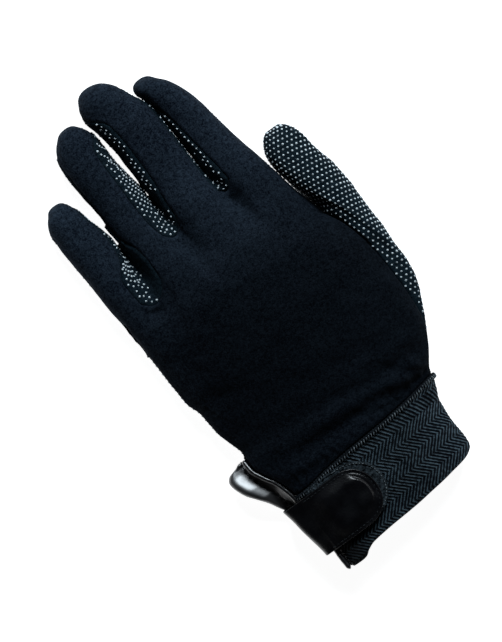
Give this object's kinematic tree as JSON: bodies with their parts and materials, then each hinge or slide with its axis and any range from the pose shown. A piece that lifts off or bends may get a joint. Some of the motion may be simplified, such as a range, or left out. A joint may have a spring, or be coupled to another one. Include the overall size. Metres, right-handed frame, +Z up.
{
  "type": "horse riding glove",
  "caption": "Left-hand stretch riding glove lying palm down, with a grip-dotted palm, thumb and finger sides, an elastic cuff and a hook-and-loop wrist tab over a vent.",
  "frame": {"origin": "on the flat of the palm, on the hand's long axis, halfway along the glove's body", "axes": "+Y to the fingertips, +X to the thumb's side, +Z up through the back of the hand"},
  "size_m": [0.125, 0.2444, 0.0272],
  "materials": {
    "jersey": "brushed stretch jersey, black with a blue tinge and a soft sheen",
    "dotted": "black knit covered in small silvery white silicone grip dots",
    "elastic": "wide black elastic woven in ribs that run in zigzags",
    "loop_pile": "black loop pile, matt",
    "trim": "black smooth synthetic leather, half gloss"
  },
  "bodies": {
    "root": {"back_panel": "jersey", "closure_tab": "trim", "cuff_band": "elastic", "fourchette_little_ring": "dotted", "fourchette_middle_index": "dotted", "fourchette_ring_middle": "dotted", "loop_patch": "loop_pile", "palm_panel": "dotted", "thumb": "dotted", "vent_facing": "trim", "vent_piping": "trim"}
  },
  "joints": []
}
